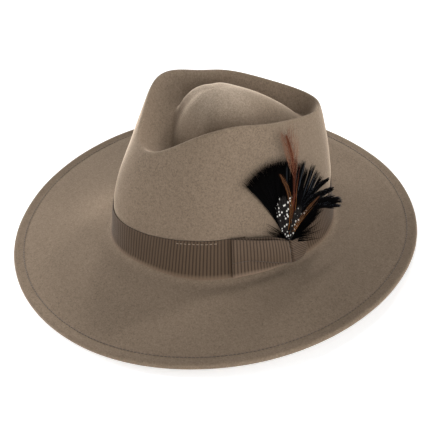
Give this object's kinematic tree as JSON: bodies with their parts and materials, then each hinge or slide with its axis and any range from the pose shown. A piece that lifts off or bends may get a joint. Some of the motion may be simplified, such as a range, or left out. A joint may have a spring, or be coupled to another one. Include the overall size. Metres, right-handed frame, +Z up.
{
  "type": "fedora hat",
  "caption": "Wide-brim felt fedora with a dented teardrop crown, hemmed brim, ribbon band with a flat bow, and a feather trim that pulls out of the bow.",
  "frame": {"origin": "centre of the overall box in X and Y, on the surface the brim rests on", "axes": "+Z up, -Y the hat's front, +X the wearer's left, the side of the bow and feathers"},
  "size_m": [0.3532, 0.363, 0.145],
  "materials": {
    "felt": "matte wool felt, short nap",
    "ribbon": "grosgrain, fine upright ribs",
    "thread": "twisted sewing thread",
    "wire": "drawn wire",
    "leather": "smooth, semi-matte",
    "satin": "satin weave",
    "plastic": "plain",
    "black_feather": "feather vane, faint gloss",
    "brown_feather": "feather vane, dark middle",
    "spotted_feather": "feather vane, white spots",
    "label": "blank woven tape"
  },
  "bodies": {
    "hat": {"felt_body": "felt", "brim_wire": "wire", "hem_needle_thread": "thread", "hem_bobbin_thread": "thread", "hatband": "ribbon", "band_tack_thread": "thread", "bow_loop": "ribbon", "bow_tail": "ribbon", "sweatband": "leather", "sweatband_reed": "plastic", "sweatband_thread": "thread", "lining_side": "satin", "lining_tip": "satin", "size_label": "label"},
    "feather_trim": {"quill_binding": "thread", "black_fan_feather": "black_feather", "black_side_feather": "black_feather", "biot_feather_1": "black_feather", "biot_feather_2": "black_feather", "biot_feather_3": "black_feather", "tall_hackle": "brown_feather", "striped_hackle_front": "brown_feather", "striped_hackle_rear": "brown_feather", "guinea_feather_front": "spotted_feather", "guinea_feather_rear": "spotted_feather"}
  },
  "joints": [
    {"name": "feather_trim_pull", "type": "slide", "parent": "hat", "child": "feather_trim", "axis": [-0.1847, -0.0671, 0.9805], "range_m": [0, 0.05]}
  ]
}
